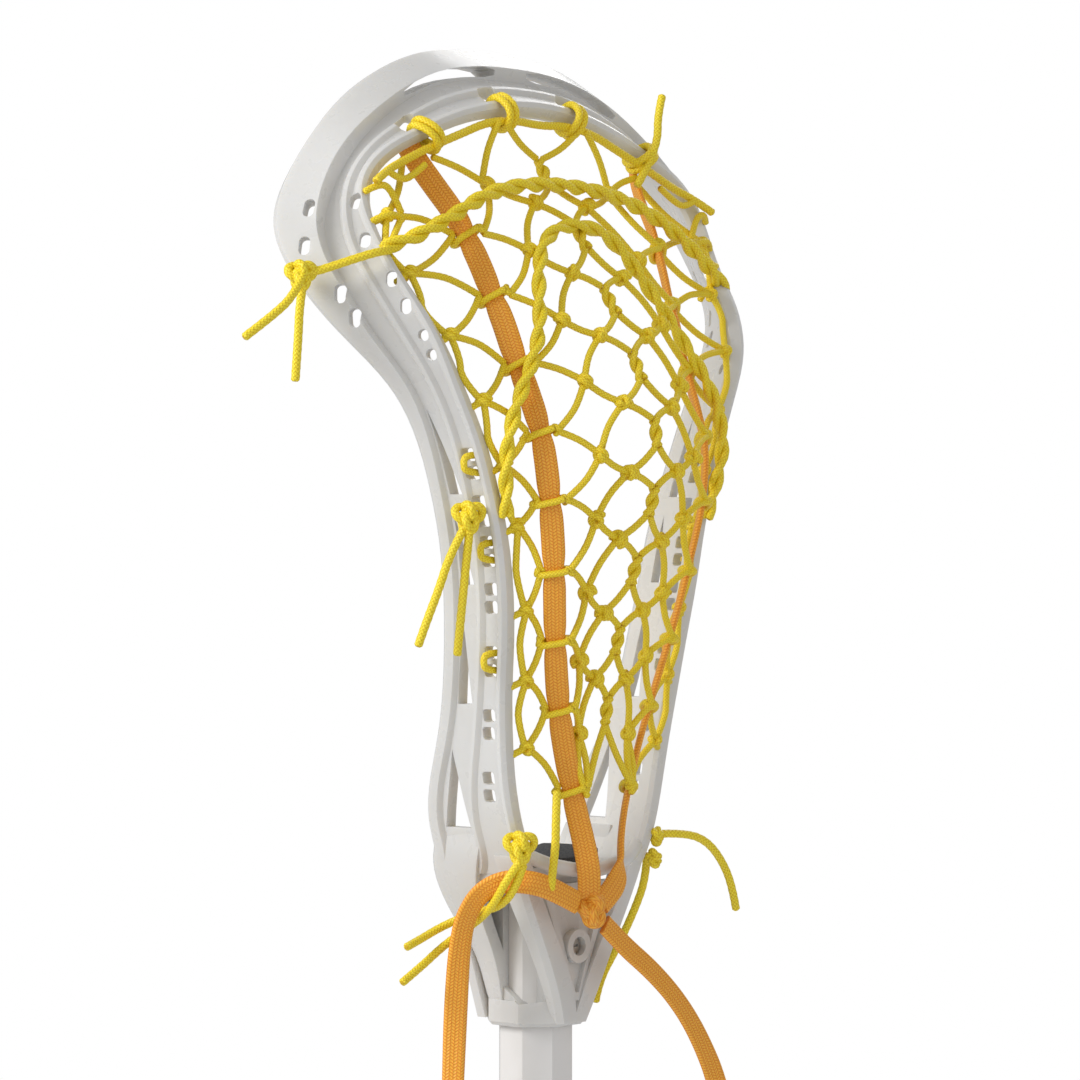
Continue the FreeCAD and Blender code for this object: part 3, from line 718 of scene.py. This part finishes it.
def add_ties(heap, side):
    """Turns of lace that hold the net to one runner, with a lump each side of the strap."""
    for i, height in enumerate(TIES):
        half, depth = between(RUNNER_PATH, height)
        higher, lower = between(RUNNER_PATH, height + 2), between(RUNNER_PATH, height - 2)
        along = Vector((side * (higher[0] - lower[0]), higher[1] - lower[1], 4.0)).normalized()
        deep = Vector((side * RUNNER_FACING[0], RUNNER_FACING[1], 0))
        deep = (deep - along * deep.dot(along)).normalized()
        across = along.cross(deep)
        centre = at(side * half, depth, height)
        add_ring(heap, centre, across, deep, 4.5, 1.95, LACE, tilt=0.8 * side)
        for end in (-1, 1):
            spot = centre + across * end * 4.6 * MM + along * 0.2 * MM
            add_lace_knot(heap, spot, along * 0.5 + across * end, deep, LACE * 0.9, 1.0,
                          turns=1.1, tilt=i + end)


# Scoop openings that the top string is tied through: angle round the scoop
SCOOP_CENTRE = 225.0
SCOOP_TIES = [(43.0, 68.8), (74.0, 58.9)]


def add_scoop_loops(heap, side):
    """Turns of cord from the top string through each opening in the scoop's inner edge."""
    for angle, radius in SCOOP_TIES:
        swing = math.radians(angle)
        radial = Vector((side * math.cos(swing), 0, math.sin(swing)))
        around = Vector((-side * math.sin(swing), 0, math.cos(swing)))
        along = radial * 0.64 + Vector((0, 0.77, 0))
        deep = radial * 0.77 - Vector((0, 0.64, 0))
        for offset in (-1.3, 1.3):
            centre = at(side * radius * math.cos(swing), -1.2,
                        SCOOP_CENTRE + radius * math.sin(swing)) + around * offset * MM
            centre -= deep * 1.4 * MM
            add_ring(heap, centre, along, deep, 5.0, 4.6, CORD * 0.92, tilt=0.5, squareness=0.85)


TOP_STRING = [(-78, -7, 255), (-71, -5, 259), (-63, -3, 262), (-50, -2.5, 267.5), (-36, -2.2, 272.5),
              (-24, -2, 277), (-12, -2, 278.5), (0, -2, 277.6), (12, -2, 278.5), (24, -2, 277),
              (36, -2.2, 272.5), (50, -2.5, 267.5), (63, -3, 262), (71, -5, 259), (78, -7, 255)]
UPPER_SHOOTER = [(-79, -10, 235.0), (-70, -13, 238), (-60, -14.5, 242.5), (-48, -14, 248),
                 (-36, -13.5, 254), (-20, -13, 257.5), (-4, -13, 258.5), (12, -12.5, 258),
                 (26, -12.5, 256), (40, -13, 252), (52, -14, 246), (63, -14.5, 239),
                 (71, -13.5, 234), (79, -11, 231)]
LOWER_SHOOTER = [(-46.5, -30.5, 156), (-49.5, -32.5, 169), (-50, -34.5, 181), (-44.5, -34.5, 193.5),
                 (-37.5, -33.5, 203.7), (-31, -30, 214), (-28.5, -27, 225.7), (-24, -23.5, 236.5),
                 (-15, -20.5, 243.5), (-4, -19.5, 246), (7, -19.5, 245), (14, -20.5, 241),
                 (19, -22, 236), (24, -25, 228), (29, -28, 220), (34, -31, 211), (39, -34, 202.5),
                 (45, -35, 193), (50, -34.5, 181), (49.5, -32.5, 169), (46, -30.5, 156)]
SHOOTER_LEAD = [(-77, -12, 234.5), (-82, -13, 234), (-88, -10, 232), (-94, -6, 229.5),
                (-99, -2.5, 227.5), (-101.5, -0.5, 227)]
WING_LACES = [
    [(-76.5, -7, 229.5), (-73.5, -10, 231), (-69, -10.5, 229), (-68, -9.5, 226)],
    [(-78.5, -5, 243), (-75, -8, 245.5), (-70, -8.5, 245.5), (-67, -7.5, 244)],
    [(-79, -3, 252), (-75, -6, 255), (-70, -6, 253), (-67, -7, 246)],
    [(-71, -5, 259), (-66, -5.5, 256), (-60, -5, 258), (-54, -4.5, 262)],
    [(-68, -8, 245), (-72, -9, 240), (-75, -10.5, 237), (-77, -9, 238)],
]


def lines_at(rows):
    return [tuple(at(*row)) for row in rows]


# Where each runner goes from the throat bar into the knot that ties them together
RUNNER_FEET = {-1: [(-8.0, -29.4, 45.0), (-9.0, -29.8, 40.0)],
               1: [(5.5, -29.4, 46.0), (1.0, -30.2, 42.0), (-4.5, -30.5, 38.5)]}


def runner_line(side):
    """One runner's centre line, from the scoop down over the throat bar to the runner knot."""
    rows = [(52.5, 5.5, 270.0)]
    rows += [(half, depth, height) for height, half, depth in RUNNER_PATH[:-1]]
    rows = [(side * x, y, h) for x, y, h in rows + [(8.6, -27.4, 58.0), (7.6, -28.4, 51.0)]]
    rows += RUNNER_FEET[side]
    return resample(smooth_line(lines_at(rows)), 0.5 * MM)


def make_runner(name, side):
    heap = Heap()
    line = runner_line(side)
    tangents = unit(np.gradient(line, axis=0))
    normals = np.tile([side * RUNNER_FACING[0], RUNNER_FACING[1], 0.0], (len(line), 1))
    low = np.clip((HEAD_Z + 52 * MM - line[:, 2]) / (9 * MM), 0, 1)[:, None]
    normals = normals * (1 - low) + low * np.array([-0.6, -0.8, 0.0])
    normals = unit(normals - tangents * (normals * tangents).sum(axis=1, keepdims=True))
    heights = (line[:, 2] - HEAD_Z) / MM
    pinches = [float(np.abs(heights - tie).argmin()) / len(line) for tie in TIES]
    add_webbing(heap, line, normals, STRAP_WIDTH, STRAP_THICK, pinches=pinches)
    piece = heap.mesh_object(name, LOOKS["runner"])
    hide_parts(name.replace("_woven", ""))
    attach(piece, "root")


def finished(heap, name, look, slot, *replaced):
    piece = heap.mesh_object(name, LOOKS[look])
    if replaced:
        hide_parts(*replaced)
    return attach(piece, "root")


WALL_LOOPS = [(55.8, -23.6, 172.0), (48.0, -23.1, 146.0), (42.9, -19.7, 113.0)]


def add_wall_loops(heap, side):
    """Lace that comes out of one string hole of a pair and goes back in at the other."""
    for x, y, height in WALL_LOOPS:
        rows = [(x - 6, y - 1, height + 2.7), (x + 1.2, y, height + 2.7), (x + 2.2, y, height),
                (x + 1.2, y, height - 2.7), (x - 6, y - 1, height - 2.7)]
        line = smooth_line(lines_at([(side * px, py, level) for px, py, level in rows]))
        add_braid(heap, line, LACE)


def make_net():
    outer, inner, centre = lattice()
    heap = Heap()
    add_net(heap, outer, inner, centre)
    finished(heap, "crosslace_net", "lace", "nylon_cord", "crosslace")
    for side, word in ((-1, "left"), (1, "right")):
        heap = Heap()
        add_wall_lacing(heap, side, WALL_KNOTS)
        add_ties(heap, side)
        add_wall_loops(heap, side)
        finished(heap, word + "_wall_lace", "lace", "nylon_cord", word + "_wall_lacing")
        make_runner(word + "_runner_woven", side)


def make_strings():
    heap = Heap()
    add_braid(heap, smooth_line(lines_at(TOP_STRING)), CORD)
    for side in (-1, 1):
        add_scoop_loops(heap, side)
        for row in WING_LACES:
            add_braid(heap, smooth_line(lines_at([(-side * x, y, h) for x, y, h in row])), LACE)
        for share, x, height in ((OUTER_COLUMN, 20.0, 258.3), (0.02, 17.0, 267.3)):
            start = net_point(side * share, height)
            end = at(side * x, -3.0, 277.5)
            add_lace(heap, start, end, 0.06 * side, Vector((0, -1, 0)))
    finished(heap, "top_lacing", "lace", "nylon_cord", "top_string")

    heap = Heap()
    add_twisted(heap, smooth_line(lines_at(UPPER_SHOOTER)), CORD, UPPER_PITCH)
    add_braid(heap, smooth_line(lines_at(SHOOTER_LEAD)), CORD)
    finished(heap, "upper_shooting_cords", "cord", "nylon_cord", "upper_shooting_string")

    heap = Heap()
    add_twisted(heap, smooth_line(lines_at(LOWER_SHOOTER)), CORD * 0.95, LOWER_PITCH)
    finished(heap, "lower_shooting_cords", "cord", "nylon_cord", "lower_shooting_string")


def make_knot(name, node, size, diameter, facing, look="cord"):
    """A tight lump of two overhand knots where its CAD ball is."""
    low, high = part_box(node)
    centre = (low + high) / 2
    heap = Heap()
    add_braid(heap, trefoil(centre, size * MM, facing, spin=0.4), diameter, closed_end=False)
    facing = Vector(facing)
    other = facing.cross(Vector((0.2, 0.3, 1.0)))
    add_braid(heap, trefoil(centre, size * 0.86 * MM, other, spin=1.3), diameter,
              closed_end=False)
    add_braid(heap, trefoil(centre, size * 0.5 * MM, facing.cross(other), spin=0.9), diameter,
              closed_end=False)
    slot = "runner_webbing" if look == "runner" else "nylon_cord"
    return finished(heap, name, look, slot, node)


def make_right_knots():
    heap = Heap()
    for spot in ((33.0, -21.0, 57.0), (31.5, -21.5, 50.0)):
        add_braid(heap, trefoil(at(*spot), 2.5 * MM, (0.5, -0.8, 0.1), spin=spot[2]), 2.2,
                  closed_end=False)
        add_braid(heap, trefoil(at(*spot), 2.1 * MM, (0.3, 0.2, 1.0), spin=1.0), 2.2,
                  closed_end=False)
    finished(heap, "right_throat_knots", "cord", "nylon_cord", "right_knots")


def make_knots():
    back = (-0.7, -0.7, 0.1)
    make_knot("shooter_end_knot", "shooter_knot", 4.1, CORD, back)
    make_knot("middle_rail_knot", "middle_knot", 4.5, CORD, back)
    make_knot("throat_rail_knot", "throat_knot", 4.6, CORD, back)
    make_knot("runner_end_knot", "runner_knot", 4.0, 3.6, (-0.3, -0.9, 0.2), look="runner")
    make_right_knots()


# Free cords: name, the route in the head's own heights, and the length in metres
FREE_CORDS = [
    ("shooter_tail_outer", [(-101.5, -1.5, 228.0), (-108.0, -3.5, 220.5), (-115.5, -3.0, 214.5),
                            (-124.5, 0.5, 207.5)], 0.032),
    ("shooter_tail_inner", [(-101.5, -1.0, 227.0), (-103.5, -1.0, 218.0), (-103.0, 0.0, 208.5),
                            (-103.8, 0.5, 195.5)], 0.032),
    ("middle_tail_long", [(-55.5, -22.0, 153.5), (-60.0, -20.0, 145.0), (-63.0, -18.5, 135.0),
                          (-67.5, -17.5, 125.0), (-70.5, -17.0, 118.0)], 0.039),
    ("middle_tail_short", [(-54.5, -23.0, 153.0), (-55.0, -22.0, 143.0), (-56.0, -21.5, 132.0),
                           (-56.5, -20.5, 121.0), (-57.0, -20.2, 115.0)], 0.038),
    ("throat_tail_long", [(-35.0, -26.5, 54.5), (-37.5, -22.5, 48.0), (-36.0, -16.5, 41.0),
                          (-33.0, -8.5, 35.5), (-33.5, -0.5, 30.5), (-38.5, 4.0, 25.5),
                          (-46.5, 4.5, 20.5), (-56.5, 3.0, 16.5)], 0.065),
    ("throat_tail_short", [(-34.0, -26.0, 52.5), (-34.5, -23.0, 44.5), (-33.0, -15.5, 39.0),
                           (-31.5, -7.0, 37.0), (-32.5, 1.0, 34.5), (-37.5, 5.5, 31.5),
                           (-45.5, 6.0, 28.5), (-54.0, 3.5, 27.0)], 0.059),
    ("top_tail", [(44.0, -3.5, 261.5), (48.0, -5.0, 268.5), (51.0, -6.5, 277.0),
                  (52.0, -5.5, 284.5), (55.5, -4.5, 291.5)], 0.033),
    ("right_arc_tail", [(35.0, -21.5, 57.5), (43.0, -25.0, 57.5), (51.0, -27.0, 54.5),
                        (57.5, -28.0, 47.5), (61.5, -28.5, 39.5), (64.0, -28.0, 32.0)], 0.044),
    ("right_long_tail", [(31.5, -18.5, 51.5), (33.5, -16.5, 43.5), (30.5, -14.0, 33.0),
                         (24.5, -12.5, 22.5), (17.8, -10.5, 12.0), (15.8, -10.8, 5.5)], 0.051),
    ("centre_tail", [(-22.5, -29.0, 74.0), (-23.5, -29.5, 66.0), (-22.5, -28.5, 57.5),
                     (-23.3, -28.0, 50.0), (-23.0, -27.0, 43.5)], 0.031),
]
LEFT_END = [(-13.5, -29.5, 39.5), (-20.5, -28.5, 43.0), (-27.5, -25.0, 46.3),
            (-33.5, -18.5, 47.0), (-37.0, -11.0, 43.5), (-38.5, -6.0, 35.5), (-38.8, -4.0, 25.5),
            (-38.6, -2.8, 14.0), (-38.6, -2.0, 2.0), (-38.8, -1.6, -10.0), (-39.2, -1.4, -22.0),
            (-39.3, -1.6, -34.0)]
RIGHT_END = [(-3.5, -31.5, 32.5), (4.3, -32.5, 25.5), (14.5, -34.0, 18.0), (23.9, -35.0, 9.8),
             (31.4, -36.0, 1.0), (37.8, -36.5, -8.5), (43.0, -37.0, -18.5), (46.6, -37.3, -29.0)]


def make_tails():
    for name, rows, length in FREE_CORDS:
        heap = Heap()
        line = smooth_line(lines_at(rows), name)
        add_braid(heap, line, CORD)
        piece = finished(heap, name + "_braid", "cord", "nylon_cord", name)


def make_runner_end(name, rows, start_facing, end_facing):
    heap = Heap()
    route = smooth_line(lines_at(rows), name)
    line = resample(route, 0.5 * MM)
    share = np.linspace(0, 1, len(line))[:, None]
    facing = np.array(start_facing) * (1 - share) + np.array(end_facing) * share
    tangents = unit(np.gradient(line, axis=0))
    facing = unit(facing - tangents * (facing * tangents).sum(axis=1, keepdims=True))
    add_webbing(heap, line, facing, STRAP_WIDTH, STRAP_THICK)
    piece = finished(heap, name + "_woven", "runner", "runner_webbing", name)


def make_ball_stop():
    """The foam pad in the throat: soft corners and a top hollowed where the ball rests."""
    low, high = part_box("ball_stop_pad")
    size = high - low
    across, deep, tall = 36, 20, 8
    points, faces, index = [], [], {}

    def vertex(i, j, k):
        if (i, j, k) in index:
            return index[(i, j, k)]
        u, v, w = i / across * 2 - 1, j / deep * 2 - 1, k / tall
        round_off = 1 - 0.05 * (abs(u) ** 6) * abs(v) ** 6 - 0.03 * (2 * w - 1) ** 8
        x = (low.x + high.x) / 2 + u * size.x / 2 * round_off
        y = (low.y + high.y) / 2 + v * size.y / 2 * round_off
        dip = 1 - 0.55 * (1 - u * u) ** 1.5 - 0.04 * v * v
        z = low.z + size.z * w * dip
        index[(i, j, k)] = len(points)
        points.append((x, y, z))
        return index[(i, j, k)]

    for i in range(across):
        for j in range(deep):
            faces.append([vertex(i, j, 0), vertex(i, j + 1, 0), vertex(i + 1, j + 1, 0),
                          vertex(i + 1, j, 0)])
            faces.append([vertex(i, j, tall), vertex(i + 1, j, tall), vertex(i + 1, j + 1, tall),
                          vertex(i, j + 1, tall)])
    for i in range(across):
        for k in range(tall):
            faces.append([vertex(i, 0, k), vertex(i + 1, 0, k), vertex(i + 1, 0, k + 1),
                          vertex(i, 0, k + 1)])
            faces.append([vertex(i, deep, k), vertex(i, deep, k + 1), vertex(i + 1, deep, k + 1),
                          vertex(i + 1, deep, k)])
    for j in range(deep):
        for k in range(tall):
            faces.append([vertex(0, j, k), vertex(0, j, k + 1), vertex(0, j + 1, k + 1),
                          vertex(0, j + 1, k)])
            faces.append([vertex(across, j, k), vertex(across, j + 1, k),
                          vertex(across, j + 1, k + 1), vertex(across, j, k + 1)])
    mesh = bpy.data.meshes.new("ball_stop_foam")
    mesh.from_pydata(points, [], faces)
    mesh.polygons.foreach_set("use_smooth", [True] * len(mesh.polygons))
    mesh.materials.append(LOOKS["foam"])
    piece = bpy.data.objects.new("ball_stop_foam", mesh)
    bpy.context.scene.collection.objects.link(piece)
    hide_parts("ball_stop_pad")
    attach(piece, "root")


def dress(node, look):
    mesh = NODES[node].data
    mesh.materials.clear()
    mesh.materials.append(LOOKS[look])


make_camera()
make_stage()
LOOKS = {
    "plastic": moulded_plastic(),
    "paint": painted_shaft(),
    "rubber": rubber(),
    "steel": steel(),
    "foam": foam(),
    # Each fibre gets a painted shade colour for its grooves, its own colour, and a painted highlight
    # colour for its crowns.
    "lace": fibre("yellow_lace", (0.60, 0.35, 0.003), (1.0, 0.70, 0.012), (1.0, 0.84, 0.04),
                  braid_crown, 0.00016),
    "cord": fibre("yellow_cord", (0.62, 0.38, 0.004), (1.0, 0.73, 0.014), (1.0, 0.86, 0.045),
                  braid_crown, 0.00018),
    "runner": fibre("orange_webbing", (0.68, 0.19, 0.009), (1.0, 0.41, 0.030), (1.0, 0.54, 0.06),
                    stitch_crown, 0.00018),
}
dress("head", "plastic")
dress("shaft", "paint")
dress("end_cap", "rubber")
dress("head_screw", "steel")
make_tails()
make_runner_end("left_runner_end", LEFT_END, (0, -1, 0), (-0.94, -0.34, 0))
make_runner_end("right_runner_end", RIGHT_END, (0, -1, 0.2), (-0.45, -0.85, 0.27))
make_knots()
make_strings()
make_net()
make_ball_stop()
